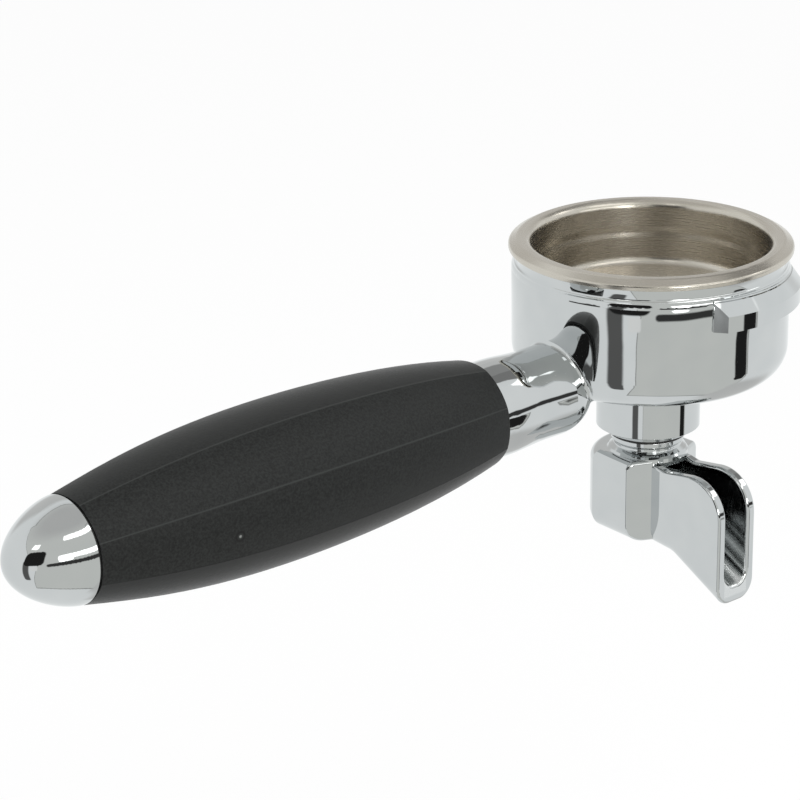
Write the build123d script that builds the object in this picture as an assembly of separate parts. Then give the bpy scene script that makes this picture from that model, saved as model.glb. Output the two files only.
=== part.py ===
from build123d import *
import math
import os

# Portafilter for a 58 mm espresso group: chromed brass holder, sprung filter
# basket, open single spout on a pipe thread, and a bolted soft grip.
# Millimetres. Origin: centre of the basket rim's top plane. +Z is up along the
# bowl axis, and the handle runs towards -X.

# Filter basket, a pressed one-cup cup in stainless sheet
SHEET = 0.9
RIM_R = 35.1
RIM_CREST_R = 32.9
RIM_FALL = 1.2
RIM_DROP = 2.5
RIM_SEAT = 1.2
RIM_HEM_Z = -2.1
RIM_MOUTH_ROUND = 2.0
RIM_CREST_ROUND = 1.6
RIM_EDGE_ROUND = 0.8
RIM_HEM_ROUND = 0.3
RIM_SEAT_ROUND = 0.65
CUP_R = 29.4
CUP_SHOULDER_Z = -16.2
CUP_CORNER = 2.3
WELL_TOP_R = 22.0
WELL_TOP_Z = -19.2
WELL_FLOOR_R = 20.4
WELL_FLOOR_Z = -25.0
WELL_TOP_ROUND = 1.6
WELL_CORNER = 2.1
BEAD_Z = -8.3
BEAD_DEPTH = 0.22
BEAD_HALF = 1.5
BEAD_EDGE_ROUND = 3.0
BEAD_CREST_ROUND = 2.0

# Perforation of the basket's floor, in rings of six round the middle hole
HOLE_R = 0.5
HOLE_SIDES = 6
HOLE_PITCH = 3.3
HOLE_RINGS = 4

# Bowl of the holder
BOWL_R = 34.35
BOWL_LIP_R = 33.4
BOWL_TOP_Z = -1.25
BOWL_TOP_CHAMFER = 1.3
LIP_Z = -5.3
LIP_FALL = 0.9
LIP_HOLLOW = 0.55
LIP_ROUND = 2.3
BOWL_TAPER = 0.1
BOWL_BOTTOM_Z = -33.4
BOWL_CORNER = 7.6
CAVITY_R = 31.0
CAVITY_FLOOR_Z = -30.1
CAVITY_CORNER = 5.0
FLOOR_FALL = 1.6

# Retaining wire
WIRE_R = 0.6
WIRE_RING_R = 31.1
WIRE_Z = -6.2
WIRE_PLAY = 0.1
WIRE_ARC = 338
WIRE_GAP_TURN = 100

# Bayonet lugs
LUG_R = 37.3
LUG_TOP_Z = -6.5
LUG_CREST_Z = -9.9
LUG_UNDER_Z = -13.9
LUG_START = -109.5
LUG_ARC = 66.0
REAR_LUG_ARC = 42.0
LUG_RAKE = 1.3
LUG_ROOT_R = 31.6
LUG_TOP_FALL = 0.9
LUG_UNDER_RISE = 0.5
LUG_END_CHAMFER = 2.6

# Threaded boss and drain
BOSS_R = 13.0
BOSS_BOTTOM_Z = -50.4
BOSS_ROOT_FALL = 2.0
BOSS_ROOT_ROUND = 4.5
BOSS_CHAMFER = 2.6
BOSS_CHAMFER_RISE = 1.7
THREAD_R = 8.33
THREAD_CLEARANCE = 0.05
THREAD_TOP_Z = -37.5
DRAIN_R = 6.5

# Neck that carries the handle, measured outwards from the bowl axis
AXIS_Z = -31.25
NECK_DOME_S = 35.6
NECK_DOME_R = 11.3
NECK_BELL_S = 52.0
NECK_BELL_R = 11.9
NECK_WAIST_S = 44.0
NECK_WAIST_RISE = 0.05
NECK_END_S = 60.0
NECK_END_FALL = 0.15
SPIGOT_R = 8.0
SPIGOT_CHAMFER = 0.8
SPIGOT_END_S = 76.0
NECK_HOLE_END_S = 40.0
DRILL_POINT = 2.5
NECK_CREASE_ROUND = 0.9

# Spout, with its nose towards -Y
COLLAR_R = 9.15
COLLAR_GROOVE = 0.7
COLLAR_GROOVE_Z = -53.2
FLARE_R = 9.7
FLARE_HIGH = 0.5
SHOULDER_Z = -55.3
BLOCK_R = 14.3
BLOCK_HALF = 12.6
BLOCK_CORNER_Y = -5.0
BLOCK_FACE_Y = -8.2
BLOCK_BACK_Z = -76.4
BLOCK_BOTTOM_ROUND = 5.0
SHOULDER_ROUND = 2.6
BEAK_CROWN_Z = -56.7
BLOCK_CORNER_ROUND = 1.0
BLOCK_DEPTH = 40.0
NOSE_Y = -31.2
BEAK_HALF = 6.5
BEAK_WALL = 2.75
RIM_INNER_ROUND = 0.8
BEAK_EDGE = 4.6
RIM_LOW_Z = -57.3
RIM_TOP_Z = -56.1
RIM_ARC_R = 9.6
RIM_ROUND = 0.7
RIM_DIP_Y = -12.4
RIM_DIP_LONG = 2.8
RIM_CROWN_ROUND = 1.5
RIM_DIP_ROUND = 2.0
RIM_SWELL_ROUND = 8.0
RIM_SWELL_Y = -20.5
NOSE_CORNER_Z = -72.0
RAMP_START_Y = -13.8
RAMP_START_Z = -79.2
RAMP_ROUND = 6.0
NOSE_TIP_Z = -88.4
RAMP_SLOPE = (NOSE_TIP_Z - RAMP_START_Z) / (NOSE_Y - RAMP_START_Y)
BLOCK_FALL = 0.03
BLOCK_REACH = 12.0
CHEEK_SET = 0.7
CHEEK_LAP = 0.5
BEAK_FALL = 0.1
FLOOR_THICK = 4.0
NOSE_FLOOR_SHARE = 1.15
RAMP_SHIFT_SHARE = 0.2
TROUGH_EDGE = 3.1
SPOUT_BORE_R = 5.2
ROOF_Z = -59.4
ROOF_ROUND = 1.5
TROUGH_MOUTH_Y = -8.2
TROUGH_BACK_Y = 7.0
STUB_TOP_Z = -39.5
STUB_CHAMFER = 0.8
WASHER_THICK = 0.9
WASHER_R = 9.5
WASHER_PLAY = 0.12
COLLAR_TOP_Z = BOSS_BOTTOM_Z - WASHER_THICK

# Handle
GRIP_END_S = 177.5
GRIP_STATIONS = (
    (59.2, 13.2),
    (74.0, 15.8),
    (90.0, 17.55),
    (119.0, 18.7),
    (148.0, 17.3),
    (163.0, 15.25),
    (177.5, 12.5),
)
GRIP_SIDES = 8
GRIP_CROWN = 0.978
GRIP_FRONT_ROUND = 4.5
GRIP_FRONT_SPARE = 0.4
GRIP_FRONT_LONG = 12.0
GRIP_FRONT_FLARE = 3.0
CORE_R = 10.3
BOLT_R = 5.0
BOLT_HEAD_R = 8.0
BOLT_CHAMFER = 0.8
BOLT_PLAY = 0.3
CORE_SEAT_S = 155.0
FLAT_WASHER = 1.6
SPRING_WASHER = 2.2
BOLT_HEAD_S = CORE_SEAT_S + FLAT_WASHER + SPRING_WASHER
BOLT_HEAD_LONG = 10.0
CAP_TIP_S = 193.8
CAP_R = 12.45
CAP_CROWN_SHARES = ((0.35, 0.96), (1.0, 0.533))
CAP_TIP_WALL = 5.0
CAP_HOLLOW_LONG = 6.0
CAP_CHAMFER = 0.5
CAP_SPIGOT_R = 8.55
CAP_SPIGOT_LONG = 7.5
CAP_WALL = 2.0
BOLT_SOCKET = 8.0
SOCKET_DEEP = 5.5
SPRING_GAP = 0.9
SPRING_GAP_TURN = 25
SEAM = 0.7
SEAM_RECESS = 0.5

# Running fit, and how far a cutting shape reaches past the face that it opens
FIT = 0.04
OVER = 1.0
ABOVE_RIM = 5.0


def rounded_face(corners):
    """Closed outline from (radius, height) corners, each with its own rounding."""
    outline = make_face(Polyline(*[(c[0], c[1]) for c in corners], close=True))
    for corner in corners:
        if len(corner) == 3:
            vertex = outline.vertices().sort_by_distance((corner[0], corner[1], 0))[0]
            outline = fillet(vertex, corner[2])
    return outline


def turned(corners, arc=360.0):
    """Solid of revolution round the bowl axis."""
    return revolve(Plane.XZ * rounded_face(corners), Axis.Z, arc)


def turned_on_handle(corners):
    """Solid of revolution round the handle axis, from (distance, radius) corners."""
    outline = rounded_face([(-c[0],) + tuple(c[1:]) for c in corners])
    solid = revolve(Plane.XZ * outline, Axis.X)
    return Pos(0, 0, AXIS_Z) * solid


def bowl_blank():
    """Bowl, shallow bottom and chamfered boss as one turned outline."""
    return turned(
        [
            (0, BOWL_TOP_Z),
            (BOWL_LIP_R - BOWL_TOP_CHAMFER, BOWL_TOP_Z),
            (BOWL_LIP_R, BOWL_TOP_Z - BOWL_TOP_CHAMFER),
            (BOWL_LIP_R, LIP_Z, LIP_HOLLOW),
            (BOWL_R, LIP_Z - LIP_FALL, LIP_ROUND),
            (BOWL_R - BOWL_TAPER, BOWL_BOTTOM_Z, BOWL_CORNER),
            (BOSS_R, BOWL_BOTTOM_Z - BOSS_ROOT_FALL, BOSS_ROOT_ROUND),
            (BOSS_R, BOSS_BOTTOM_Z + BOSS_CHAMFER_RISE),
            (BOSS_R - BOSS_CHAMFER, BOSS_BOTTOM_Z),
            (0, BOSS_BOTTOM_Z),
        ]
    )


def neck():
    """Round neck with a slight bell at the grip and a domed end at the bowl."""
    dome_end = NECK_DOME_S - NECK_DOME_R
    dome_mid = NECK_DOME_R * math.sqrt(0.5)
    top = Spline(
        (-NECK_END_S, NECK_BELL_R - NECK_END_FALL),
        (-NECK_BELL_S, NECK_BELL_R),
        (-NECK_WAIST_S, NECK_DOME_R + NECK_WAIST_RISE),
        (-NECK_DOME_S, NECK_DOME_R),
        tangents=[(1, 0), (1, 0)],
    )
    dome = ThreePointArc(
        (-NECK_DOME_S, NECK_DOME_R),
        (-NECK_DOME_S + dome_mid, dome_mid),
        (-dome_end, 0),
    )
    rest = Polyline(
        (-dome_end, 0),
        (-SPIGOT_END_S, 0),
        (-SPIGOT_END_S, SPIGOT_R - SPIGOT_CHAMFER),
        (-SPIGOT_END_S + SPIGOT_CHAMFER, SPIGOT_R),
        (-NECK_END_S, SPIGOT_R),
        (-NECK_END_S, NECK_BELL_R - NECK_END_FALL),
    )
    outline = make_face(top + dome + rest)
    solid = revolve(Plane.XZ * outline, Axis.X)
    return Pos(0, 0, AXIS_Z) * solid


def lug(arc):
    """One bayonet lug: bevelled top, upright crest, raked along its length."""
    section = Plane.XZ * make_face(
        Polyline(
            (LUG_ROOT_R, LUG_TOP_Z + LUG_TOP_FALL),
            (BOWL_R, LUG_TOP_Z),
            (LUG_R, LUG_CREST_Z),
            (LUG_R, LUG_UNDER_Z),
            (LUG_ROOT_R, LUG_UNDER_Z - LUG_UNDER_RISE),
            close=True,
        )
    )
    ring = revolve(section, Axis.Z, arc)
    upright = ring.edges().filter_by(Axis.Z)
    ends = upright.sort_by(lambda e: math.hypot(e.center().X, e.center().Y))[-2:]
    ring = chamfer(ends, LUG_END_CHAMFER)
    ring = Rot(0, 0, -arc / 2) * ring
    return Rot(0, 0, LUG_START + arc / 2) * Rot(-LUG_RAKE, 0, 0) * ring


def upright_hole(radius, top, bottom):
    """Cylinder on the bowl axis between two heights."""
    return Pos(0, 0, (top + bottom) / 2) * Cylinder(radius, top - bottom)


def cavity():
    """Space for the basket, with the drain down to the boss thread."""
    space = turned(
        [
            (0, ABOVE_RIM),
            (CAVITY_R, ABOVE_RIM),
            (CAVITY_R, CAVITY_FLOOR_Z, CAVITY_CORNER),
            (DRAIN_R, CAVITY_FLOOR_Z - FLOOR_FALL),
            (0, CAVITY_FLOOR_Z - FLOOR_FALL),
        ]
    )
    reach = WIRE_R + WIRE_PLAY
    groove = turned(
        [
            (CAVITY_R - OVER, WIRE_Z + reach),
            (WIRE_RING_R + reach, WIRE_Z + reach),
            (WIRE_RING_R + reach, WIRE_Z - reach),
            (CAVITY_R - OVER, WIRE_Z - reach),
        ]
    )
    drain = upright_hole(DRAIN_R, CAVITY_FLOOR_Z, THREAD_TOP_Z - OVER)
    thread = upright_hole(THREAD_R + THREAD_CLEARANCE, THREAD_TOP_Z, BOSS_BOTTOM_Z - OVER)
    return space + groove + drain + thread


def holder_body():
    """Chromed casting: bowl, two lugs, boss and neck."""
    body = bowl_blank() + neck()
    crease = body.edges().filter_by(GeomType.BSPLINE).filter_by(lambda e: e.center().X > -BOWL_R)
    body = fillet(crease, NECK_CREASE_ROUND)
    body = body + lug(LUG_ARC) + Rot(0, 0, 180) * lug(REAR_LUG_ARC)
    body = body - cavity()
    hole = turned_on_handle(
        [
            (SPIGOT_END_S + OVER, 0),
            (SPIGOT_END_S + OVER, BOLT_R + FIT),
            (NECK_HOLE_END_S, BOLT_R + FIT),
            (NECK_HOLE_END_S - DRILL_POINT, 0),
        ]
    )
    return body - hole


def basket_spring():
    """Open ring of round wire that sits in the bowl's groove."""
    section = Plane.XZ * (Pos(WIRE_RING_R, WIRE_Z) * Circle(WIRE_R))
    return Rot(0, 0, WIRE_GAP_TURN) * revolve(section, Axis.Z, WIRE_ARC)


def bead(radius):
    """Corners of the shallow retaining bead, as a wall of the given radius has it."""
    return [
        (radius, BEAD_Z + BEAD_HALF, BEAD_EDGE_ROUND),
        (radius + BEAD_DEPTH, BEAD_Z, BEAD_CREST_ROUND),
        (radius, BEAD_Z - BEAD_HALF, BEAD_EDGE_ROUND),
    ]


def perforation():
    """Hexagonal pattern of fine holes that fills the basket's floor."""
    drill = extrude(RegularPolygon(HOLE_R, HOLE_SIDES), 2 * SHEET, both=True)
    holes = [Pos(0, 0, WELL_FLOOR_Z) * drill]
    for ring in range(1, HOLE_RINGS + 1):
        for side in range(6):
            for step in range(ring):
                across = ring - step / 2
                along = step * math.sqrt(0.75)
                place = Pos(across * HOLE_PITCH, along * HOLE_PITCH, WELL_FLOOR_Z)
                holes.append(Rot(0, 0, 60 * side) * place * drill)
    return holes


def filter_basket():
    """Pressed cup: rolled rim, retaining bead, sloping shoulder, well and pierced floor."""
    outer_r = CUP_R + SHEET
    outer = turned(
        [
            (0, 0),
            (RIM_CREST_R, 0, RIM_CREST_ROUND),
            (RIM_R, -RIM_FALL, RIM_EDGE_ROUND),
            (RIM_R, -RIM_DROP, RIM_HEM_ROUND),
            (outer_r, -RIM_DROP),
            *bead(outer_r),
            (outer_r, CUP_SHOULDER_Z - SHEET, CUP_CORNER + SHEET),
            (WELL_TOP_R + SHEET, WELL_TOP_Z - SHEET, WELL_TOP_ROUND),
            (WELL_FLOOR_R + SHEET, WELL_FLOOR_Z - SHEET, WELL_CORNER + SHEET),
            (0, WELL_FLOOR_Z - SHEET),
        ]
    )
    inner = turned(
        [
            (0, ABOVE_RIM),
            (CUP_R, ABOVE_RIM),
            *bead(CUP_R),
            (CUP_R, CUP_SHOULDER_Z, CUP_CORNER),
            (WELL_TOP_R, WELL_TOP_Z, WELL_TOP_ROUND + SHEET),
            (WELL_FLOOR_R, WELL_FLOOR_Z, WELL_CORNER),
            (0, WELL_FLOOR_Z),
        ]
    )
    under_rim = turned(
        [
            (outer_r, -RIM_DROP - OVER),
            (RIM_R - SHEET, -RIM_DROP - OVER),
            (RIM_R - SHEET, RIM_HEM_Z, RIM_HEM_ROUND),
            (RIM_CREST_R, -RIM_SEAT, 0.5),
            (outer_r, -RIM_SEAT, RIM_SEAT_ROUND),
        ]
    )
    cup = outer - under_rim - inner
    mouth = cup.edges().filter_by(GeomType.CIRCLE).filter_by(lambda e: abs(e.radius - CUP_R) < 0.01)
    cup = fillet(mouth.sort_by(Axis.Z)[-1], RIM_MOUTH_ROUND)
    return cup - perforation()


def spout_underside(shift, back, over):
    """Sloping floor and steeper ramp, seen from the side, as a list of corners."""
    return [
        (NOSE_Y - over, NOSE_TIP_Z + shift * NOSE_FLOOR_SHARE - over * RAMP_SLOPE),
        (RAMP_START_Y - shift * RAMP_SHIFT_SHARE, RAMP_START_Z + shift, RAMP_ROUND),
        (back, RAMP_START_Z + shift + (back - RAMP_START_Y) * BEAK_FALL),
    ]


def below_shoulder(outline):
    """Upright prism that ends at the spout's shoulder, well past the block below."""
    return Pos(0, 0, SHOULDER_Z - BLOCK_DEPTH) * extrude(make_face(outline), BLOCK_DEPTH)


def spout_block():
    """Round-backed block under the collar, its front closing in towards the beak."""
    back = math.sqrt(BLOCK_R**2 - BLOCK_HALF**2)
    front = BLOCK_FACE_Y - BLOCK_REACH
    plan = ThreePointArc((BLOCK_HALF, back), (0, BLOCK_R), (-BLOCK_HALF, back))
    plan += Polyline(
        (-BLOCK_HALF, back),
        (-BLOCK_HALF, front),
        (BLOCK_HALF, front),
        (BLOCK_HALF, back),
    )
    low = BLOCK_BACK_Z + (front - BLOCK_R) * BLOCK_FALL
    side = make_face(
        Polyline(
            (BLOCK_R, 0),
            (BLOCK_R, BLOCK_BACK_Z),
            (front, low),
            (front, 0),
            close=True,
        )
    )
    block = below_shoulder(plan) & extrude(Plane.YZ * side, BLOCK_R, both=True)
    for level, rounding in ((0, BLOCK_BOTTOM_ROUND), (-1, SHOULDER_ROUND)):
        face = block.faces().sort_by(Axis.Z)[level]
        rim = face.edges().filter_by(lambda e: e.center().Y > front + 0.5)
        block = fillet(rim, rounding)
    closing = Polyline(
        (-BLOCK_R, BLOCK_R + OVER),
        (-BLOCK_R, BLOCK_CORNER_Y + CHEEK_SET),
        (-BEAK_HALF + CHEEK_LAP, BLOCK_FACE_Y),
        (BEAK_HALF - CHEEK_LAP, BLOCK_FACE_Y),
        (BLOCK_R, BLOCK_CORNER_Y + CHEEK_SET),
        (BLOCK_R, BLOCK_R + OVER),
        close=True,
    )
    block = block & below_shoulder(closing)
    upright = block.edges().filter_by(Axis.Z)
    corners = upright.filter_by(lambda e: abs(abs(e.center().X) - BLOCK_HALF) < 0.01)
    return fillet(corners.filter_by(lambda e: e.center().Y < 0), BLOCK_CORNER_ROUND)


def lengthwise_edges(solid, half, top):
    """Edges below a level that run along the beak, at a half width from its middle."""
    picked = []
    for edge in solid.edges():
        middle = edge @ 0.5
        along = abs((edge % 0.5).X) < 0.01
        if along and abs(abs(middle.X) - half) < 0.01 and middle.Z < top:
            picked.append(edge)
    return picked


def beak():
    """Narrow parallel-sided beak: domed rim, upright nose, ramp on its underside."""
    over = 2 * OVER
    side = Plane.YZ * rounded_face(
        [
            (0, BEAK_CROWN_Z),
            (RIM_DIP_Y + RIM_DIP_LONG, BEAK_CROWN_Z, RIM_CROWN_ROUND),
            (RIM_DIP_Y, RIM_LOW_Z, RIM_DIP_ROUND),
            (RIM_SWELL_Y, RIM_TOP_Z, RIM_SWELL_ROUND),
            (NOSE_Y, RIM_TOP_Z, RIM_ARC_R),
            (NOSE_Y, NOSE_CORNER_Z),
            (NOSE_Y - over, NOSE_CORNER_Z),
        ]
        + spout_underside(0, 0, over)
    )
    solid = extrude(side, BEAK_HALF, both=True)
    under = lengthwise_edges(solid, BEAK_HALF, NOSE_CORNER_Z - 1)
    under = [e for e in under if abs((e % 0.5).Y) > 0.3]
    solid = fillet(under, BEAK_EDGE)
    solid = solid - Pos(0, NOSE_Y - 10, NOSE_CORNER_Z) * Box(40, 20, 60)
    rim = lengthwise_edges(solid, BEAK_HALF, RIM_TOP_Z + 0.1)
    rim = [e for e in rim if e.center().Y < RIM_DIP_Y + 3.4 and e.center().Z > RAMP_START_Z]
    return fillet(rim, RIM_ROUND)


def trough():
    """Space inside the spout: a slot with a round floor, open above and at the nose."""
    side = Plane.YZ * rounded_face(
        [
            (TROUGH_BACK_Y, ROOF_Z),
            (TROUGH_MOUTH_Y, ROOF_Z, ROOF_ROUND),
            (TROUGH_MOUTH_Y, COLLAR_TOP_Z),
            (NOSE_Y - OVER, COLLAR_TOP_Z),
        ]
        + spout_underside(FLOOR_THICK, TROUGH_BACK_Y, OVER)
    )
    half = BEAK_HALF - BEAK_WALL
    space = extrude(side, half, both=True)
    low = lengthwise_edges(space, half, NOSE_CORNER_Z)
    low = [e for e in low if abs((e % 0.5).Y) > 0.1]
    return fillet(low, TROUGH_EDGE)


def spout():
    """Open trough spout with a grooved collar and a hollow threaded stub."""
    collar = turned(
        [
            (0, SHOULDER_Z - OVER),
            (FLARE_R + FLARE_HIGH, SHOULDER_Z - OVER),
            (FLARE_R + FLARE_HIGH, SHOULDER_Z - 0.01),
            (FLARE_R, SHOULDER_Z + FLARE_HIGH, 0.5),
            (COLLAR_R - COLLAR_GROOVE, COLLAR_GROOVE_Z - COLLAR_GROOVE, 0.4),
            (COLLAR_R - COLLAR_GROOVE, COLLAR_GROOVE_Z, 0.3),
            (COLLAR_R, COLLAR_GROOVE_Z + COLLAR_GROOVE, 0.2),
            (COLLAR_R, COLLAR_TOP_Z, 0.3),
            (THREAD_R, COLLAR_TOP_Z),
            (THREAD_R, STUB_TOP_Z - STUB_CHAMFER),
            (THREAD_R - STUB_CHAMFER, STUB_TOP_Z),
            (0, STUB_TOP_Z),
        ]
    )
    bore = upright_hole(SPOUT_BORE_R, STUB_TOP_Z + OVER, ROOF_Z - 2 * OVER)
    body = spout_block() + beak() - trough()
    rim = lengthwise_edges(body, BEAK_HALF - BEAK_WALL, RIM_TOP_Z + 0.1)
    rim = [e for e in rim if e.center().Y < TROUGH_MOUTH_Y - 2 and e.center().Z > RAMP_START_Z]
    body = fillet(rim, RIM_INNER_ROUND)
    return body + collar - bore


def spout_washer():
    """Flat sealing ring pinched between the boss and the spout's collar."""
    inner = THREAD_R + WASHER_PLAY
    return turned(
        [
            (inner, BOSS_BOTTOM_Z),
            (WASHER_R, BOSS_BOTTOM_Z),
            (WASHER_R, COLLAR_TOP_Z),
            (inner, COLLAR_TOP_Z),
        ]
    )


def grip_section(station, radius):
    """Eight gently crowned flats, as one closed outline across the handle."""
    arcs = []
    step = 2 * math.pi / GRIP_SIDES
    ridge = radius * (1 + (1 - GRIP_CROWN) / 4)
    for index in range(GRIP_SIDES):
        points = []
        for turn, reach in ((0.5, ridge), (1, ridge * GRIP_CROWN), (1.5, ridge)):
            angle = (index + turn) * step
            across = reach * math.sin(angle)
            points.append((-station, across, AXIS_Z + reach * math.cos(angle)))
        arcs.append(ThreePointArc(*points))
    return make_face(Wire(arcs))


def grip():
    """Soft barrel moulded over the core, open for the neck and for the cap."""
    sections = [grip_section(station, radius) for station, radius in GRIP_STATIONS]
    barrel = loft(sections)
    front, front_r = GRIP_STATIONS[0]
    widest = max(radius for station, radius in GRIP_STATIONS) + GRIP_FRONT_FLARE
    envelope = turned_on_handle(
        [
            (front, 0),
            (front, front_r + GRIP_FRONT_SPARE, GRIP_FRONT_ROUND),
            (front + GRIP_FRONT_LONG, widest),
            (GRIP_END_S, widest),
            (GRIP_END_S, 0),
        ]
    )
    hollow = turned_on_handle(
        [
            (front - OVER, 0),
            (front - OVER, NECK_BELL_R + FIT),
            (NECK_END_S + FIT, NECK_BELL_R + FIT),
            (NECK_END_S + FIT, CORE_R + FIT),
            (GRIP_END_S + OVER, CORE_R + FIT),
            (GRIP_END_S + OVER, 0),
        ]
    )
    return (barrel & envelope) - hollow


def handle_core():
    """Rigid tube inside the grip: neck socket, bolt hole and rear counterbore."""
    front = NECK_END_S + FIT
    return turned_on_handle(
        [
            (front, SPIGOT_R + FIT),
            (front, CORE_R),
            (GRIP_END_S, CORE_R),
            (GRIP_END_S, CAP_SPIGOT_R + FIT),
            (CORE_SEAT_S, CAP_SPIGOT_R + FIT),
            (CORE_SEAT_S, BOLT_R + BOLT_PLAY),
            (SPIGOT_END_S + OVER, BOLT_R + BOLT_PLAY),
            (SPIGOT_END_S + OVER, SPIGOT_R + FIT),
        ]
    )


def handle_bolt():
    """Socket-head bolt that draws the handle on to the neck."""
    head_end = BOLT_HEAD_S + BOLT_HEAD_LONG
    shank = turned_on_handle(
        [
            (NECK_HOLE_END_S + 2, 0),
            (NECK_HOLE_END_S + 2, BOLT_R - BOLT_CHAMFER),
            (NECK_HOLE_END_S + 2 + BOLT_CHAMFER, BOLT_R),
            (BOLT_HEAD_S, BOLT_R),
            (BOLT_HEAD_S, BOLT_HEAD_R),
            (head_end, BOLT_HEAD_R, BOLT_CHAMFER),
            (head_end, 0),
        ]
    )
    plane = Plane(origin=(-head_end, 0, AXIS_Z), x_dir=(0, 1, 0), z_dir=(1, 0, 0))
    hexagon = RegularPolygon(BOLT_SOCKET / 2, 6, major_radius=False)
    return shank - extrude(plane * hexagon, SOCKET_DEEP)


def handle_ring(start, end, inner, outer):
    """Plain ring on the handle axis."""
    return turned_on_handle([(start, inner), (start, outer), (end, outer), (end, inner)])


def bolt_washer():
    """Flat washer that bears on the core's seat."""
    end = CORE_SEAT_S + FLAT_WASHER
    return handle_ring(CORE_SEAT_S, end, BOLT_R + BOLT_PLAY, BOLT_HEAD_R)


def spring_washer():
    """Split ring of square wire under the bolt head."""
    start = CORE_SEAT_S + FLAT_WASHER
    ring = handle_ring(start, start + SPRING_WASHER, BOLT_R + BOLT_PLAY, BOLT_HEAD_R)
    middle = Pos(-start - SPRING_WASHER / 2, 0, AXIS_Z + (BOLT_R + BOLT_HEAD_R) / 2)
    gap = middle * Rot(0, 0, SPRING_GAP_TURN) * Box(BOLT_HEAD_R, SPRING_GAP, BOLT_R)
    return ring - gap


def cap_gasket():
    """Thin recessed ring between the grip's end and the cap."""
    inner = CAP_SPIGOT_R + FIT
    return handle_ring(GRIP_END_S, GRIP_END_S + SEAM, inner, CAP_R - SEAM_RECESS)


def end_cap():
    """Chromed bullet cap, hollow, with a spigot that presses into the core."""
    seam = GRIP_END_S + SEAM
    inner = CAP_SPIGOT_R - CAP_WALL
    mouth = CAP_SPIGOT_LONG - GRIP_END_S
    long = CAP_TIP_S - seam
    outside = Bezier(
        (-seam, CAP_R),
        *[(-seam - along * long, out * CAP_R) for along, out in CAP_CROWN_SHARES],
        (-CAP_TIP_S, 0),
    )
    inside = Polyline(
        (-CAP_TIP_S, 0),
        (-CAP_TIP_S + CAP_TIP_WALL, 0),
        (-seam - CAP_HOLLOW_LONG, inner),
        (mouth, inner),
        (mouth, CAP_SPIGOT_R - CAP_CHAMFER),
        (mouth - CAP_CHAMFER, CAP_SPIGOT_R),
        (-seam, CAP_SPIGOT_R),
        (-seam, CAP_R),
    )
    solid = revolve(Plane.XZ * make_face(outside + inside), Axis.X)
    return Pos(0, 0, AXIS_Z) * solid


os.makedirs("parts", exist_ok=True)
export_step(holder_body(), "parts/holder_body.step")
export_step(basket_spring(), "parts/basket_spring.step")
export_step(filter_basket(), "parts/filter_basket.step")
export_step(spout(), "parts/spout.step")
export_step(spout_washer(), "parts/spout_washer.step")
export_step(grip(), "parts/grip.step")
export_step(handle_core(), "parts/handle_core.step")
export_step(handle_bolt(), "parts/handle_bolt.step")
export_step(bolt_washer(), "parts/bolt_washer.step")
export_step(spring_washer(), "parts/spring_washer.step")
export_step(end_cap(), "parts/end_cap.step")
export_step(cap_gasket(), "parts/cap_gasket.step")
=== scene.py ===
import math

import bpy
from mathutils import Matrix, Vector


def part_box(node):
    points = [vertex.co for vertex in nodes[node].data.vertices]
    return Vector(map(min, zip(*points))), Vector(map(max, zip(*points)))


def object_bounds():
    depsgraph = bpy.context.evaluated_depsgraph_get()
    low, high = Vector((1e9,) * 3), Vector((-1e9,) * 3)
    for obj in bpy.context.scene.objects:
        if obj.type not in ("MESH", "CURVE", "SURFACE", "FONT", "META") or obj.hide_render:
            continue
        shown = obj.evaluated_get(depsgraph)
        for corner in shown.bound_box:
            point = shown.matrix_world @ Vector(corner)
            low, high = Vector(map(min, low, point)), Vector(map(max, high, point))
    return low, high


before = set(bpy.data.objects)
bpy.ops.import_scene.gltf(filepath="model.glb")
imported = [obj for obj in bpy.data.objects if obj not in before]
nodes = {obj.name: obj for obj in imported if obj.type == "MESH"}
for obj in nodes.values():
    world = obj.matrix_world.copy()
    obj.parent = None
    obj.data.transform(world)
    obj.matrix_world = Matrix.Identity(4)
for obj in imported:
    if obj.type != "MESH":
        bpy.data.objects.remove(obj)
cad_low, cad_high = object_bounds()


# --- Filter holder and spout: chromium plate on polished brass ---------------------------
# The bowl, its lugs, the neck and the boss are one brass casting, turned inside and buffed
# outside. The open spout is a smaller casting with a pipe thread on its stub. Both are
# plated together with the handle's end cap, so all three share one mirror finish.
CHROME_TINT = "#CACCCC"
CHROME_SHADE = "#C1C4C5"
# A paler tint painted over the low end of the spout's trough, a painted highlight.
CHROME_PAINTED_GLINT = "#D8DADA"
BUFFING_WAVE_MM = 7.0
BUFFING_WAVE_HEIGHT = 0.00002
HAIRLINE_MM = 0.35
HAIRLINE_HEIGHT = 0.0000002
PLATE_HAZE = (0.015, 0.05)
CAST_HAZE = 0.14

# The bowl's outer wall leans in below its lip, and the land above the lip leans out.
WALL_RADIUS = 0.0343
WALL_PLAY = 0.0004
ROLL_LOW = -0.0190
ROLL_HIGH = -0.0075
ROLL_IN = 0.0009
MOUTH_RADIUS = 0.0334
MOUTH_LOW = -0.0053
MOUTH_HIGH = -0.0025
MOUTH_OUT = 0.0006

# The pipe thread: its mean radius, its two ends, its pitch and its depth over its pitch.
THREAD_RADIUS = 0.008355
THREAD_PLAY = 0.0001
THREAD_LOW = -0.0502
THREAD_HIGH = -0.0385
THREAD_PITCH = 0.001337
THREAD_DEPTH = 0.8

# The spout's trough lies between its walls, above its ramp and in front of the stub.
TROUGH_HALF = 0.0039
TROUGH_TOP = -0.0580
TROUGH_BACK = -0.0080
RAMP_SLOPE = 0.529
RAMP_LEVEL = -0.0695
NOSE_HIGH = -0.0600
NOSE_LOW = -0.0780


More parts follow.
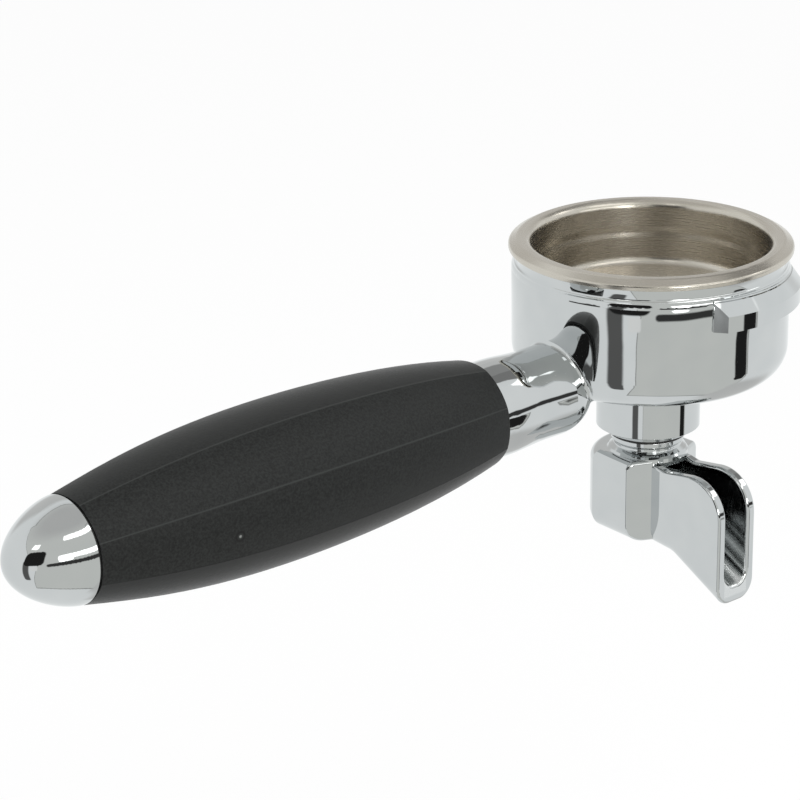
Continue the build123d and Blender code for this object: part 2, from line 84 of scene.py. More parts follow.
def linear(code):
    """An sRGB hex colour as the linear RGBA that a shader socket takes."""
    parts = [int(code[i : i + 2], 16) / 255 for i in (1, 3, 5)]
    return [c / 12.92 if c <= 0.04045 else ((c + 0.055) / 1.055) ** 2.4 for c in parts] + [1.0]


def add(tree, kind, inputs=None, **settings):
    """One shader node, its settings, and its inputs as values or as links from sockets."""
    node = tree.nodes.new(kind)
    for name, value in settings.items():
        setattr(node, name, value)
    for name, value in (inputs or {}).items():
        if isinstance(value, bpy.types.NodeSocket):
            tree.links.new(value, node.inputs[name])
        else:
            node.inputs[name].default_value = value
    return node


def new_material(name):
    """An empty node material with its tree and the object's own coordinates."""
    material = bpy.data.materials.new(name)
    material.use_nodes = True
    material.node_tree.nodes.clear()
    tree = material.node_tree
    return material, tree, add(tree, "ShaderNodeTexCoord").outputs["Object"]


def finish_material(tree, shader):
    """Joins the finished shader to the material's output."""
    add(tree, "ShaderNodeOutputMaterial", {"Surface": shader.outputs[0]})


def per_mm(length):
    """The texture scale at which one feature is that many millimetres across."""
    return 1000 / length


def region(tree, *limits):
    """A mask that is one where every value is under its limit, each with its own soft edge."""
    mask = 1.0
    for value, limit, edge in limits:
        mask = add(
            tree, "ShaderNodeMapRange",
            {"Value": value, "From Min": limit - edge, "From Max": limit + edge,
             "To Min": mask, "To Max": 0.0},
        ).outputs[0]
    return mask


def inside_trough(tree, place, part):
    """A mask over the spout's inner walls, which a buffing wheel can't reach."""
    aside = add(tree, "ShaderNodeMath", {0: part.outputs["X"]}, operation="ABSOLUTE")
    ramp = add(
        tree, "ShaderNodeVectorMath", {0: place, 1: (0.0, RAMP_SLOPE, -1.0)},
        operation="DOT_PRODUCT",
    )
    return region(
        tree,
        (aside.outputs[0], TROUGH_HALF, 0.0001),
        (part.outputs["Y"], TROUGH_BACK, 0.0005),
        (part.outputs["Z"], TROUGH_TOP, 0.0008),
        (ramp.outputs["Value"], -RAMP_LEVEL, 0.0003),
    )


def from_cylinder(tree, part, radius):
    """How far a point lies from a cylinder of that radius round the bowl's axis."""
    flat = add(tree, "ShaderNodeCombineXYZ", {"X": part.outputs["X"], "Y": part.outputs["Y"]})
    out = add(tree, "ShaderNodeVectorMath", {0: flat.outputs[0]}, operation="LENGTH")
    away = add(tree, "ShaderNodeMath", {0: out.outputs["Value"], 1: radius}, operation="SUBTRACT")
    return add(tree, "ShaderNodeMath", {0: away.outputs[0]}, operation="ABSOLUTE").outputs[0]


def thread_ridges(tree, part):
    """The height of the pipe thread on the stub and in the boss, a right-handed helix."""
    angle = add(
        tree, "ShaderNodeMath", {0: part.outputs["Y"], 1: part.outputs["X"]}, operation="ARCTAN2"
    )
    turns = add(
        tree, "ShaderNodeMath", {0: angle.outputs[0], 1: -1 / math.tau}, operation="MULTIPLY"
    )
    phase = add(
        tree, "ShaderNodeMath",
        {0: part.outputs["Z"], 1: 1 / THREAD_PITCH, 2: turns.outputs[0]}, operation="MULTIPLY_ADD",
    )
    flank = add(tree, "ShaderNodeMath", {0: phase.outputs[0], 1: 0.5}, operation="PINGPONG")
    down = add(tree, "ShaderNodeMath", {0: part.outputs["Z"], 1: -1.0}, operation="MULTIPLY")
    threaded = region(
        tree,
        (from_cylinder(tree, part, THREAD_RADIUS), THREAD_PLAY, THREAD_PLAY / 4),
        (part.outputs["Z"], THREAD_HIGH, THREAD_PLAY),
        (down.outputs[0], -THREAD_LOW, THREAD_PLAY),
    )
    depth = add(
        tree, "ShaderNodeMath", {0: threaded, 1: THREAD_PITCH * THREAD_DEPTH}, operation="MULTIPLY"
    )
    return add(
        tree, "ShaderNodeMath", {0: flank.outputs[0], 1: depth.outputs[0]}, operation="MULTIPLY"
    )


def rolled(tree, part, radius, start, end, power, out):
    """How far an upright wall leans out, growing as a power from one height to another."""
    rise = add(
        tree, "ShaderNodeMapRange", {"Value": part.outputs["Z"], "From Min": start, "From Max": end}
    )
    curve = add(tree, "ShaderNodeMath", {0: rise.outputs[0], 1: power}, operation="POWER")
    wall = region(tree, (from_cylinder(tree, part, radius), WALL_PLAY, WALL_PLAY / 4))
    reach = add(tree, "ShaderNodeMath", {0: wall, 1: out}, operation="MULTIPLY")
    return add(
        tree, "ShaderNodeMath", {0: curve.outputs[0], 1: reach.outputs[0]}, operation="MULTIPLY"
    )


def chromium_plate():
    # Bright plating has almost no haze; buffing by hand leaves a slow wave in the surface
    # and a few hairlines, which only show where a reflection's edge crosses them. Inside
    # the spout the plate stays as cast, so it is satin there. Its low end is painted paler,
    # a painted highlight.
    material, tree, place = new_material("chromium_plate")
    part = add(tree, "ShaderNodeSeparateXYZ", {"Vector": place})
    wave = add(
        tree, "ShaderNodeTexNoise",
        {"Vector": place, "Scale": per_mm(BUFFING_WAVE_MM), "Detail": 1.0},
    )
    stretch = add(tree, "ShaderNodeMapping", {"Vector": place, "Scale": (1.0, 0.12, 0.6)})
    hairline = add(
        tree, "ShaderNodeTexNoise",
        {"Vector": stretch.outputs[0], "Scale": per_mm(HAIRLINE_MM),
         "Detail": 3.0, "Roughness": 0.7},
    )
    haze = add(
        tree, "ShaderNodeMapRange",
        {"Value": hairline.outputs["Fac"], "From Min": 0.35, "From Max": 0.75,
         "To Min": PLATE_HAZE[0], "To Max": PLATE_HAZE[1]},
    )
    cast = inside_trough(tree, place, part)
    rough = add(
        tree, "ShaderNodeMapRange",
        {"Value": cast, "To Min": haze.outputs[0], "To Max": CAST_HAZE},
    )
    buffed = add(
        tree, "ShaderNodeMix",
        {"Factor": wave.outputs["Fac"], "A": linear(CHROME_SHADE), "B": linear(CHROME_TINT)},
        data_type="RGBA",
    )
    # Painted highlight: the trough's low end takes the paler tint.
    painted_glint = add(
        tree, "ShaderNodeMapRange",
        {"Value": part.outputs["Z"], "From Min": NOSE_LOW, "From Max": NOSE_HIGH,
         "To Min": cast, "To Max": 0.0},
    )
    tint = add(
        tree, "ShaderNodeMix",
        {"Factor": painted_glint.outputs[0], "A": buffed.outputs["Result"], "B": linear(CHROME_PAINTED_GLINT)},
        data_type="RGBA",
    )
    # The thread and the two leaning walls are too slight to change an outline, so they are
    # slopes of the surface here, in true metres.
    height = thread_ridges(tree, part)
    for radius, start, end, power, out in (
        (WALL_RADIUS, ROLL_LOW, ROLL_HIGH, 3.0, -ROLL_IN),
        (MOUTH_RADIUS, MOUTH_LOW, MOUTH_HIGH, 2.0, MOUTH_OUT),
    ):
        lean = rolled(tree, part, radius, start, end, power, out)
        height = add(
            tree, "ShaderNodeMath", {0: height.outputs[0], 1: lean.outputs[0]}, operation="ADD"
        )
    shape = add(
        tree, "ShaderNodeBump", {"Height": height.outputs[0], "Strength": 1.0, "Distance": 1.0}
    )
    slow = add(
        tree, "ShaderNodeBump",
        {"Height": wave.outputs["Fac"], "Strength": 1.0, "Distance": BUFFING_WAVE_HEIGHT,
         "Normal": shape.outputs[0]},
    )
    fine = add(
        tree, "ShaderNodeBump",
        {"Height": hairline.outputs["Fac"], "Strength": 1.0, "Distance": HAIRLINE_HEIGHT,
         "Normal": slow.outputs[0]},
    )
    plate = add(
        tree, "ShaderNodeBsdfPrincipled",
        {"Base Color": tint.outputs["Result"], "Metallic": 1.0, "Roughness": rough.outputs[0],
         "Normal": fine.outputs[0]},
    )
    finish_material(tree, plate)
    return material


chrome = chromium_plate()
for name in ("holder_body", "spout", "end_cap"):
    nodes[name].material_slots[0].material = chrome


# --- Filter basket: drawn stainless sheet -------------------------------------------------
# A one-cup basket is deep-drawn from 0.9 mm stainless sheet, its rim rolled over and its
# well drawn narrower. It is then spun against a fine abrasive, so the satin lines run
# round the axis and the steel keeps a warm tone.
STEEL_LIGHT = "#D0CBC2"
STEEL_DARK = "#BCB6AB"
SPUN_LINE_MM = 0.22
SPUN_LINE_HEIGHT = 0.00000035
SPUN_LINE_TURN = 0.0006
STEEL_CLOUD_MM = 14.0
STEEL_HAZE = (0.23, 0.29)


def spun_stainless():
    # Satin lines that follow the rim: noise read in radius and height, and hardly in angle,
    # which counts for only SPUN_LINE_TURN metres a radian. They spread a highlight upwards.
    material, tree, place = new_material("spun_stainless")
    part = add(tree, "ShaderNodeSeparateXYZ", {"Vector": place})
    flat = add(tree, "ShaderNodeCombineXYZ", {"X": part.outputs["X"], "Y": part.outputs["Y"]})
    radius = add(tree, "ShaderNodeVectorMath", {0: flat.outputs[0]}, operation="LENGTH")
    angle = add(
        tree, "ShaderNodeMath", {0: part.outputs["Y"], 1: part.outputs["X"]}, operation="ARCTAN2"
    )
    along = add(
        tree, "ShaderNodeMath", {0: angle.outputs[0], 1: SPUN_LINE_TURN}, operation="MULTIPLY"
    )
    polar = add(
        tree, "ShaderNodeCombineXYZ",
        {"X": radius.outputs["Value"], "Y": along.outputs[0], "Z": part.outputs["Z"]},
    )
    lines = add(
        tree, "ShaderNodeTexNoise",
        {"Vector": polar.outputs[0], "Scale": per_mm(SPUN_LINE_MM),
         "Detail": 4.0, "Roughness": 0.65},
    )
    cloud = add(
        tree, "ShaderNodeTexNoise",
        {"Vector": place, "Scale": per_mm(STEEL_CLOUD_MM), "Detail": 2.0},
    )
    tint = add(
        tree, "ShaderNodeMix",
        {"Factor": cloud.outputs["Fac"], "A": linear(STEEL_DARK), "B": linear(STEEL_LIGHT)},
        data_type="RGBA",
    )
    satin = add(
        tree, "ShaderNodeMapRange",
        {"Value": lines.outputs["Fac"], "From Min": 0.3, "From Max": 0.7,
         "To Min": STEEL_HAZE[0], "To Max": STEEL_HAZE[1]},
    )
    relief = add(
        tree, "ShaderNodeBump",
        {"Height": lines.outputs["Fac"], "Strength": 0.5, "Distance": SPUN_LINE_HEIGHT},
    )
    axis = add(tree, "ShaderNodeTangent", direction_type="RADIAL", axis="Z")
    steel = add(
        tree, "ShaderNodeBsdfPrincipled",
        {"Base Color": tint.outputs["Result"], "Metallic": 1.0, "Roughness": satin.outputs[0],
         "Anisotropic": 0.6, "Anisotropic Rotation": 0.25, "Tangent": axis.outputs[0],
         "Normal": relief.outputs[0]},
    )
    finish_material(tree, steel)
    return material


nodes["filter_basket"].material_slots[0].material = spun_stainless()


# --- Retaining wire, bolt and washers -----------------------------------------------------
# The basket is held by an open ring of stainless spring wire. The handle's bolt and its
# washers are zinc-plated steel. All of them are small drawn or turned pieces that show
# faint lines from the die or the tool.
WIRE_TINT = "#B5B8BA"
ZINC_TINT = "#AEB1B4"
ZINC_DULL = "#8E9296"
WIRE_LINE_MM = 0.2
WIRE_HAZE = (0.16, 0.28)
ZINC_LINE_MM = 0.4
ZINC_HAZE = (0.28, 0.45)
TOOL_LINE_HEIGHT = 0.000005


def drawn_metal(name, bright, line_mm, haze):
    # Lines along the drawing or turning direction, a little duller in their hollows.
    material, tree, place = new_material(name)
    stretch = add(tree, "ShaderNodeMapping", {"Vector": place, "Scale": (0.1, 1.0, 1.0)})
    lines = add(
        tree, "ShaderNodeTexNoise",
        {"Vector": stretch.outputs[0], "Scale": per_mm(line_mm), "Detail": 3.0, "Roughness": 0.6},
    )
    tint = add(
        tree, "ShaderNodeMix",
        {"Factor": lines.outputs["Fac"], "A": linear(ZINC_DULL), "B": linear(bright)},
        data_type="RGBA",
    )
    rough = add(
        tree, "ShaderNodeMapRange",
        {"Value": lines.outputs["Fac"], "From Min": 0.3, "From Max": 0.7,
         "To Min": haze[0], "To Max": haze[1]},
    )
    relief = add(
        tree, "ShaderNodeBump",
        {"Height": lines.outputs["Fac"], "Strength": 0.6, "Distance": TOOL_LINE_HEIGHT},
    )
    metal = add(
        tree, "ShaderNodeBsdfPrincipled",
        {"Base Color": tint.outputs["Result"], "Metallic": 1.0, "Roughness": rough.outputs[0],
         "Normal": relief.outputs[0]},
    )
    finish_material(tree, metal)
    return material


wire = drawn_metal("spring_steel_wire", WIRE_TINT, WIRE_LINE_MM, WIRE_HAZE)
nodes["basket_spring"].material_slots[0].material = wire
zinc = drawn_metal("zinc_plated_steel", ZINC_TINT, ZINC_LINE_MM, ZINC_HAZE)
for name in ("handle_bolt", "bolt_washer", "spring_washer"):
    nodes[name].material_slots[0].material = zinc


# --- Handle grip: moulded elastomer over a rigid core --------------------------------------
# The grip is a soft thermoplastic elastomer moulded round a glass-filled nylon core. The
# mould's cavity is spark-eroded, which gives the matt, faintly pebbled surface. Its eight
# flats meet in fine ridges, drawn as painted lines: a painted highlight on those above the
# axis and a painted shade on those below. The mould's gate leaves one small pale mark.
GRIP_TINT = "#070808"
GRIP_WORN = "#222423"
# A painted highlight on the upper ridges, and a painted shade on the lower ridges; the dark colour
# also rings the gate mark.
GRIP_RIDGE_HIGHLIGHT = "#303231"
GRIP_PAINTED_SHADE_AND_GATE_RING = "#060606"
GRIP_HAZE = (0.44, 0.6)
GRIP_SIDES = 8
RIDGE_SHARE = 0.024
SHADED_RIDGE_DROP = 0.004
SPARK_GRAIN_MM = 0.5
SPARK_GRAIN_HEIGHT = 0.00003
GATE_TINT = "#8A8D8A"
GATE_MARK = (-0.1441, -0.0173, -0.0326)
GATE_RINGS = ((0.0013, GRIP_PAINTED_SHADE_AND_GATE_RING), (0.0008, GRIP_WORN), (0.0003, GATE_TINT))
GATE_EDGE = 0.00015
HANDLE_Z = (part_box("grip")[0][2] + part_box("grip")[1][2]) / 2
CORE_TINT = "#1D1E1F"
FIBRE_TINT = "#3A3B3C"
FIBRE_MM = 0.3


def moulded_elastomer():
    # Spark-eroded grain: rounded pits with a faint mottle in tone, and a soft sheen that
    # grows at a grazing angle. The grain is drawn three times its real size to show.
    material, tree, place = new_material("moulded_elastomer")
    grain = add(
        tree, "ShaderNodeTexNoise",
        {"Vector": place, "Scale": per_mm(SPARK_GRAIN_MM), "Detail": 3.0, "Roughness": 0.6},
    )
    pits = add(
        tree, "ShaderNodeTexVoronoi",
        {"Vector": place, "Scale": per_mm(SPARK_GRAIN_MM * 1.6)}, feature="SMOOTH_F1",
    )
    speck = add(
        tree, "ShaderNodeMapRange",
        {"Value": grain.outputs["Fac"], "From Min": 0.36, "From Max": 0.64},
    )
    tint = add(
        tree, "ShaderNodeMix",
        {"Factor": speck.outputs[0], "A": linear(GRIP_TINT), "B": linear(GRIP_WORN)},
        data_type="RGBA",
    )
    # The ridges lie half a side off the top. Each is a painted line: a painted highlight
    # above the axis and a painted shade below it.
    part = add(tree, "ShaderNodeSeparateXYZ", {"Vector": place})
    above = add(
        tree, "ShaderNodeMath", {0: part.outputs["Z"], 1: HANDLE_Z}, operation="SUBTRACT"
    )
    angle = add(
        tree, "ShaderNodeMath", {0: part.outputs["Y"], 1: above.outputs[0]}, operation="ARCTAN2"
    )
    turns = add(
        tree, "ShaderNodeMath", {0: angle.outputs[0], 1: GRIP_SIDES / math.tau},
        operation="MULTIPLY",
    )
    beside = add(
        tree, "ShaderNodeMath", {0: turns.outputs[0], 1: 1.0}, operation="FLOORED_MODULO"
    )
    off = add(tree, "ShaderNodeMath", {0: beside.outputs[0], 1: 0.5}, operation="SUBTRACT")
    off = add(tree, "ShaderNodeMath", {0: off.outputs[0]}, operation="ABSOLUTE")
    # The painted ridge line: highlight above the axis, shade below.
    line = add(
        tree, "ShaderNodeMix",
        {"Factor": region(tree, (above.outputs[0], -SHADED_RIDGE_DROP, SHADED_RIDGE_DROP / 2)),
         "A": linear(GRIP_RIDGE_HIGHLIGHT), "B": linear(GRIP_PAINTED_SHADE_AND_GATE_RING)},
        data_type="RGBA",
    )
    tint = add(
        tree, "ShaderNodeMix",
        {"Factor": region(tree, (off.outputs[0], RIDGE_SHARE / 2, RIDGE_SHARE / 2)),
         "A": tint.outputs["Result"], "B": line.outputs["Result"]},
        data_type="RGBA",
    )
    gate = add(tree, "ShaderNodeVectorMath", {0: place, 1: GATE_MARK}, operation="DISTANCE")
    for size, colour in GATE_RINGS:
        tint = add(
            tree, "ShaderNodeMix",
            {"Factor": region(tree, (gate.outputs["Value"], size, GATE_EDGE)),
             "A": tint.outputs["Result"], "B": linear(colour)},
            data_type="RGBA",
        )
    height = add(
        tree, "ShaderNodeMath", {0: grain.outputs["Fac"], 1: pits.outputs["Distance"]},
        operation="ADD",
    )
    relief = add(
        tree, "ShaderNodeBump",
        {"Height": height.outputs[0], "Strength": 0.5, "Distance": SPARK_GRAIN_HEIGHT},
    )
    matt = add(
        tree, "ShaderNodeMapRange",
        {"Value": grain.outputs["Fac"], "From Min": 0.3, "From Max": 0.7,
         "To Min": GRIP_HAZE[0], "To Max": GRIP_HAZE[1]},
    )
    skin = add(
        tree, "ShaderNodeBsdfPrincipled",
        {"Base Color": tint.outputs["Result"], "Roughness": matt.outputs[0], "IOR": 1.45,
         "Specular IOR Level": 0.36, "Sheen Weight": 0.3, "Sheen Roughness": 0.25,
         "Normal": relief.outputs[0]},
    )
    finish_material(tree, skin)
    return material


def glass_filled_nylon():
    # Short glass fibres come near the surface as paler flecks a few tenths long.
    material, tree, place = new_material("glass_filled_nylon")
    stretch = add(tree, "ShaderNodeMapping", {"Vector": place, "Scale": (0.2, 1.0, 1.0)})
    fibres = add(
        tree, "ShaderNodeTexNoise",
        {"Vector": stretch.outputs[0], "Scale": per_mm(FIBRE_MM), "Detail": 2.0},
    )
    fleck = add(
        tree, "ShaderNodeMapRange",
        {"Value": fibres.outputs["Fac"], "From Min": 0.6, "From Max": 0.75},
    )
    tint = add(
        tree, "ShaderNodeMix",
        {"Factor": fleck.outputs[0], "A": linear(CORE_TINT), "B": linear(FIBRE_TINT)},
        data_type="RGBA",
    )
    nylon = add(
        tree, "ShaderNodeBsdfPrincipled",
        {"Base Color": tint.outputs["Result"], "Roughness": 0.5, "IOR": 1.53},
    )
    finish_material(tree, nylon)
    return material


nodes["grip"].material_slots[0].material = moulded_elastomer()
nodes["handle_core"].material_slots[0].material = glass_filled_nylon()


# --- Seals: black rubber -------------------------------------------------------------------
# A flat rubber ring under the boss takes up the spout's thread, and a thinner one fills
# the seam between the grip and its cap. Both are stamped from moulded sheet.
RUBBER_TINT = "#151515"
RUBBER_BLOOM = "#222221"
BLOOM_MM = 1.5
BLOOM_HEIGHT = 0.00001


def seal_rubber():
    # Moulded rubber: near black, with a faint grey bloom and a dull surface.
    material, tree, place = new_material("seal_rubber")
    bloom = add(
        tree, "ShaderNodeTexNoise", {"Vector": place, "Scale": per_mm(BLOOM_MM), "Detail": 3.0}
    )
    tint = add(
        tree, "ShaderNodeMix",
        {"Factor": bloom.outputs["Fac"], "A": linear(RUBBER_TINT), "B": linear(RUBBER_BLOOM)},
        data_type="RGBA",
    )
    relief = add(
        tree, "ShaderNodeBump",
        {"Height": bloom.outputs["Fac"], "Strength": 0.4, "Distance": BLOOM_HEIGHT},
    )
    rubber = add(
        tree, "ShaderNodeBsdfPrincipled",
        {"Base Color": tint.outputs["Result"], "Roughness": 0.6, "IOR": 1.52,
         "Normal": relief.outputs[0]},
    )
    finish_material(tree, rubber)
    return material


rubber = seal_rubber()
for name in ("spout_washer", "cap_gasket"):
    nodes[name].material_slots[0].material = rubber


# --- Floor ----------------------------------------------------------------------------------
# The piece hangs over a plain pale floor, which takes its soft shadow. To the eye the floor
# is nearly as white as the tent round it.
FLOOR_GAP = 0.12
FLOOR_HALF = 4.0
FLOOR_SHARE = 0.88
FLOOR_TINT = "#FAFAFA"
WHITE = "#FFFFFF"


def pale_floor():
    bpy.ops.mesh.primitive_plane_add(
        size=2 * FLOOR_HALF, location=(0, 0, cad_low.z - FLOOR_GAP)
    )
    floor = bpy.context.object
    floor.name = "studio_floor"
    material, tree, _ = new_material("pale_floor")
    path = add(tree, "ShaderNodeLightPath")
    matt = add(tree, "ShaderNodeBsdfDiffuse", {"Color": linear(FLOOR_TINT), "Roughness": 0.5})
    glow = add(tree, "ShaderNodeEmission", {"Color": linear(WHITE), "Strength": 1.0})
    share = add(
        tree, "ShaderNodeMath", {0: path.outputs["Is Camera Ray"], 1: FLOOR_SHARE},
        operation="MULTIPLY",
    )
    seen = add(
        tree, "ShaderNodeMixShader", {0: share.outputs[0], 1: matt.outputs[0], 2: glow.outputs[0]}
    )
    finish_material(tree, seen)
    floor.data.materials.append(material)
    floor.visible_glossy = False


pale_floor()


# --- Light tent -----------------------------------------------------------------------------
# A white cloth tent stands round the piece, and the chrome mirrors it. Its front flap is a
# little darker than its walls, with strip lamps behind the cloth and an opening for the lens.
TENT_WHITE = (0.98, 1.0, 1.0)
TENT_AMBIENT = 0.72

# Tent parts as azimuth, elevation, width, height, corner and edge in degrees, then
# brightness. A later part lies over an earlier one.
TENT_PARTS = (
    (-98, 85, 400, 52, 14, 13.0, 0.63),      # roof, shaded towards its middle
    (-12, -52, 84, 32, 8, 6.0, 0.70),        # shaded floor beside the front
    (49, 24, 84, 38, 10, 6.0, 0.72),         # shaded wall behind the piece
    (24, 46, 44, 22, 5, 2.0, 0.36),          # seam of the roof behind the piece
    (-1, 46, 30, 20, 3, 1.5, 0.27),          # its darker fold
    (-163.5, -14, 13, 54, 4, 1.5, 0.13),     # slit beside the front
    (-86, 50, 60, 9, 2, 1.2, 3.0),           # upper strip lamp
    (-21, 41, 20, 9, 2, 1.2, 3.0),           # its far end
    (-92, 13, 54, 8, 2, 1.0, 3.4),           # lower strip lamp
    (-111, 10, 12, 10, 2, 2.0, 10.0),        # its bright end
    (-81, -1, 100, 7, 3, 1.0, 0.05),         # gap under the lower lamp
    (-152, 17, 34, 32, 8, 1.0, 0.02),        # opening for the lens
    (-160, 43, 15, 9, 2, 0.8, 2.2),          # lamp beside the opening
    (-147.5, -7, 10, 12, 2, 0.8, 1.0),       # cloth under the opening
    (-54, -18, 12, 20, 5, 0.8, 0.02),        # stand beside the front
)
PART_TINT = (1.0, 1.0, 0.985)

# The tent's open front, a grey wedge that widens upwards on its left: its heading, right
# edge, the right edge and top of its wider foot, and its lowest edge in degrees; the height
# over which it closes round the top; how fast it widens above and below the horizon.
FRONT_HEADING = -98
FRONT_RIGHT = -62
FOOT_RIGHT = -46
FOOT_TOP = -8
FRONT_LOW = -65
FRONT_CROWN = 0.83
FRONT_RISE = 1.1
FRONT_FALL = 0.25
FRONT_TINT = (0.985, 1.0, 0.965)
FRONT_LEVEL = 0.79
HEM_LEVEL = 0.40
HEM_WIDTH = 0.016
HEM_EDGE = 0.008


def tent_front(tree, way, shade):
    """The front's grey, with its hem, laid over the tent's white."""
    turn = math.radians(FRONT_HEADING)
    ahead = add(
        tree, "ShaderNodeVectorMath", {0: way, 1: (math.cos(turn), math.sin(turn), 0.0)},
        operation="DOT_PRODUCT",
    )
    aside = add(
        tree, "ShaderNodeVectorMath", {0: way, 1: (-math.sin(turn), math.cos(turn), 0.0)},
        operation="DOT_PRODUCT",
    )
    height = add(tree, "ShaderNodeSeparateXYZ", {"Vector": way}).outputs["Z"]
    either = add(tree, "ShaderNodeMath", {0: height}, operation="ABSOLUTE")
    spread = add(
        tree, "ShaderNodeMath",
        {0: height, 1: (FRONT_RISE - FRONT_FALL) / 2, 2: ahead.outputs["Value"]},
        operation="MULTIPLY_ADD",
    )
    spread = add(
        tree, "ShaderNodeMath",
        {0: either.outputs[0], 1: (FRONT_RISE + FRONT_FALL) / 2, 2: spread.outputs[0]},
        operation="MULTIPLY_ADD",
    )
    left = add(
        tree, "ShaderNodeMath", {0: spread.outputs[0], 1: aside.outputs["Value"]}, operation="ADD"
    )
    front_side, foot_side = (
        add(
            tree, "ShaderNodeVectorMath", {0: way, 1: (math.sin(edge), -math.cos(edge), 0.0)},
            operation="DOT_PRODUCT",
        ).outputs["Value"]
        for edge in (math.radians(FRONT_RIGHT), math.radians(FOOT_RIGHT))
    )
    foot = add(
        tree, "ShaderNodeMath", {0: math.sin(math.radians(FOOT_TOP)), 1: height},
        operation="SUBTRACT",
    )
    foot = add(tree, "ShaderNodeMath", {0: foot.outputs[0], 1: foot_side}, operation="MINIMUM")
    crown = add(tree, "ShaderNodeMath", {0: height, 1: FRONT_CROWN}, operation="SUBTRACT")
    right = add(tree, "ShaderNodeMath", {0: front_side, 1: crown.outputs[0]}, operation="MAXIMUM")
    right = add(
        tree, "ShaderNodeMath", {0: right.outputs[0], 1: foot.outputs[0]}, operation="MAXIMUM"
    )
    between = add(
        tree, "ShaderNodeMath", {0: left.outputs[0], 1: right.outputs[0]}, operation="MINIMUM"
    )
    over = add(
        tree, "ShaderNodeMath", {0: height, 1: math.sin(math.radians(FRONT_LOW))},
        operation="SUBTRACT",
    )
    inside = add(
        tree, "ShaderNodeMath", {0: between.outputs[0], 1: over.outputs[0]}, operation="MINIMUM"
    )
    for start, level in ((0.0, HEM_LEVEL), (HEM_WIDTH, FRONT_LEVEL)):
        share = add(
            tree, "ShaderNodeMapRange",
            {"Value": inside.outputs[0], "From Min": start, "From Max": start + HEM_EDGE},
        )
        colour = [level * tone for tone in FRONT_TINT] + [1.0]
        shade = add(
            tree, "ShaderNodeMix", {"Factor": share.outputs[0], "A": shade, "B": colour},
            data_type="RGBA",
        ).outputs["Result"]
    return shade


def tent_part(tree, aim, shade, turn, rise, width, height, corner, edge, level):
    """One rounded panel of the tent, laid over what is behind it."""
    middle = (math.radians(turn), math.radians(rise), 0.0)
    half = (math.radians(width / 2 - corner), math.radians(height / 2 - corner), 0.0)
    off = add(tree, "ShaderNodeVectorMath", {0: aim, 1: middle}, operation="SUBTRACT")
    off = add(
        tree, "ShaderNodeVectorMath",
        {0: off.outputs[0], 1: (math.pi, math.pi, 1.0), 2: (-math.pi, -math.pi, -1.0)},
        operation="WRAP",
    )
    off = add(tree, "ShaderNodeVectorMath", {0: off.outputs[0]}, operation="ABSOLUTE")
    off = add(tree, "ShaderNodeVectorMath", {0: off.outputs[0], 1: half}, operation="SUBTRACT")
    off = add(
        tree, "ShaderNodeVectorMath", {0: off.outputs[0], 1: (0.0, 0.0, 0.0)}, operation="MAXIMUM"
    )
    off = add(tree, "ShaderNodeVectorMath", {0: off.outputs[0]}, operation="LENGTH")
    inside = add(
        tree, "ShaderNodeMapRange",
        {"Value": off.outputs["Value"],
         "From Min": math.radians(corner - edge), "From Max": math.radians(corner + edge),
         "To Min": 1.0, "To Max": 0.0},
        interpolation_type="SMOOTHSTEP",
    )
    colour = [level * tone for tone in PART_TINT] + [1.0]
    return add(
        tree, "ShaderNodeMix", {"Factor": inside.outputs[0], "A": shade, "B": colour},
        data_type="RGBA",
    ).outputs["Result"]


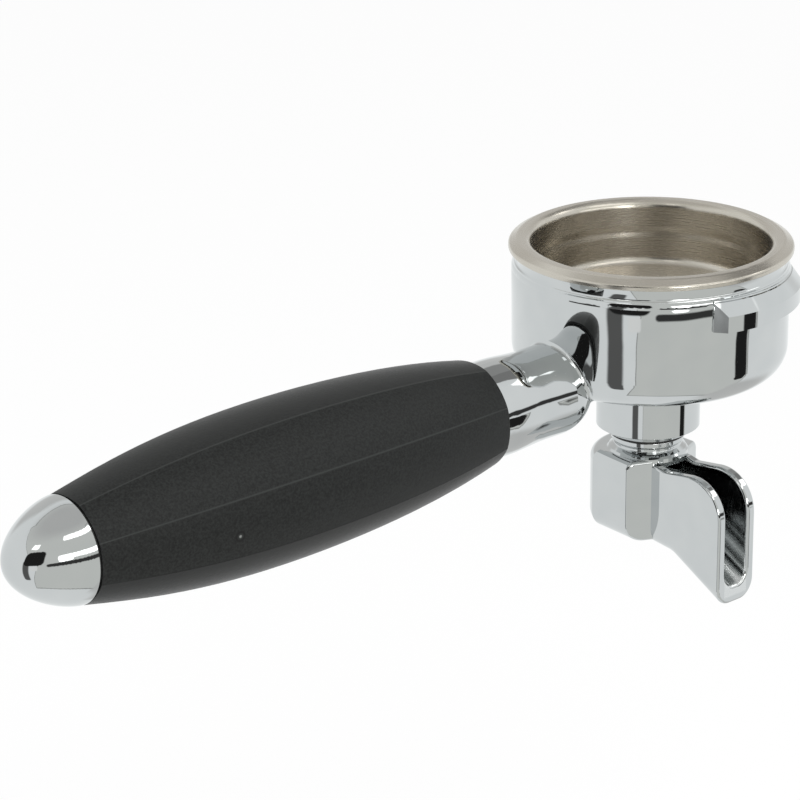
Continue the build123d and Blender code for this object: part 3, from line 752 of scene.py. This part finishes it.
def light_tent():
    """The world: mirrored as the tent, plain white light elsewhere, and white to the eye."""
    world = bpy.data.worlds.new("light_tent")
    bpy.context.scene.world = world
    world.use_nodes = True
    tree = world.node_tree
    tree.nodes.clear()
    way = add(tree, "ShaderNodeTexCoord").outputs["Generated"]
    part = add(tree, "ShaderNodeSeparateXYZ", {"Vector": way})
    azimuth = add(
        tree, "ShaderNodeMath", {0: part.outputs["Y"], 1: part.outputs["X"]}, operation="ARCTAN2"
    )
    elevation = add(tree, "ShaderNodeMath", {0: part.outputs["Z"]}, operation="ARCSINE")
    aim = add(
        tree, "ShaderNodeCombineXYZ", {"X": azimuth.outputs[0], "Y": elevation.outputs[0]}
    )
    shade = tent_front(tree, way, [*TENT_WHITE, 1.0])
    for row in TENT_PARTS:
        shade = tent_part(tree, aim.outputs[0], shade, *row)
    path = add(tree, "ShaderNodeLightPath")
    mirrored = add(tree, "ShaderNodeBackground", {"Color": shade, "Strength": 1.0})
    plain = add(tree, "ShaderNodeBackground", {"Color": linear(WHITE), "Strength": TENT_AMBIENT})
    white = add(tree, "ShaderNodeBackground", {"Color": linear(WHITE), "Strength": 1.0})
    lit = add(
        tree, "ShaderNodeMixShader",
        {0: path.outputs["Is Glossy Ray"], 1: plain.outputs[0], 2: mirrored.outputs[0]},
    )
    clear = add(
        tree, "ShaderNodeMath",
        {0: path.outputs["Is Camera Ray"], 1: path.outputs["Is Transmission Ray"]},
        operation="MAXIMUM",
    )
    seen = add(
        tree, "ShaderNodeMixShader", {0: clear.outputs[0], 1: lit.outputs[0], 2: white.outputs[0]}
    )
    add(tree, "ShaderNodeOutputWorld", {"Surface": seen.outputs[0]})


light_tent()


# --- Softboxes and camera -------------------------------------------------------------------
# Two softboxes outside the tent give the matt grip its shape and the floor its shadow. The
# camera has a long lens, a little above the piece and very slightly rolled.
CAMERA_PLACE = (-0.53879, -0.52348, 0.24334)
CAMERA_WAY = (0.61394, 0.70427, -0.35650)
CAMERA_ROLL = -0.67
CAMERA_LENS = 144.0
CAMERA_SENSOR = 36.0
CAMERA_CLIP = (0.05, 50.0)


def softbox(name, azimuth, elevation, distance, width, height, power):
    """An area lamp outside the tent's cloth, aimed at the middle of the piece."""
    middle = (cad_low + cad_high) / 2
    a, e = math.radians(azimuth), math.radians(elevation)
    away = Vector((math.cos(a) * math.cos(e), math.sin(a) * math.cos(e), math.sin(e)))
    data = bpy.data.lights.new(name, "AREA")
    data.shape = "RECTANGLE"
    data.size, data.size_y = width, height
    data.energy = power
    lamp = bpy.data.objects.new(name, data)
    lamp.location = middle + away * distance
    lamp.rotation_euler = away.to_track_quat("Z", "Y").to_euler()
    lamp.visible_glossy = False
    bpy.context.scene.collection.objects.link(lamp)


def long_lens_camera():
    data = bpy.data.cameras.new("camera")
    data.sensor_width = CAMERA_SENSOR
    data.lens = CAMERA_LENS
    data.clip_start, data.clip_end = CAMERA_CLIP
    camera = bpy.data.objects.new("camera", data)
    aimed = Vector(CAMERA_WAY).to_track_quat("-Z", "Y").to_matrix()
    turn = aimed @ Matrix.Rotation(math.radians(CAMERA_ROLL), 3, "Z")
    camera.matrix_world = Matrix.Translation(CAMERA_PLACE) @ turn.to_4x4()
    bpy.context.scene.collection.objects.link(camera)
    bpy.context.scene.camera = camera


softbox(
    "key_softbox", azimuth=-85, elevation=52, distance=0.9, width=0.8, height=0.5, power=3.6
)
softbox(
    "fill_softbox", azimuth=150, elevation=40, distance=1.0, width=0.7, height=0.7, power=2.0
)
long_lens_camera()
bpy.context.scene.view_settings.view_transform = "Standard"
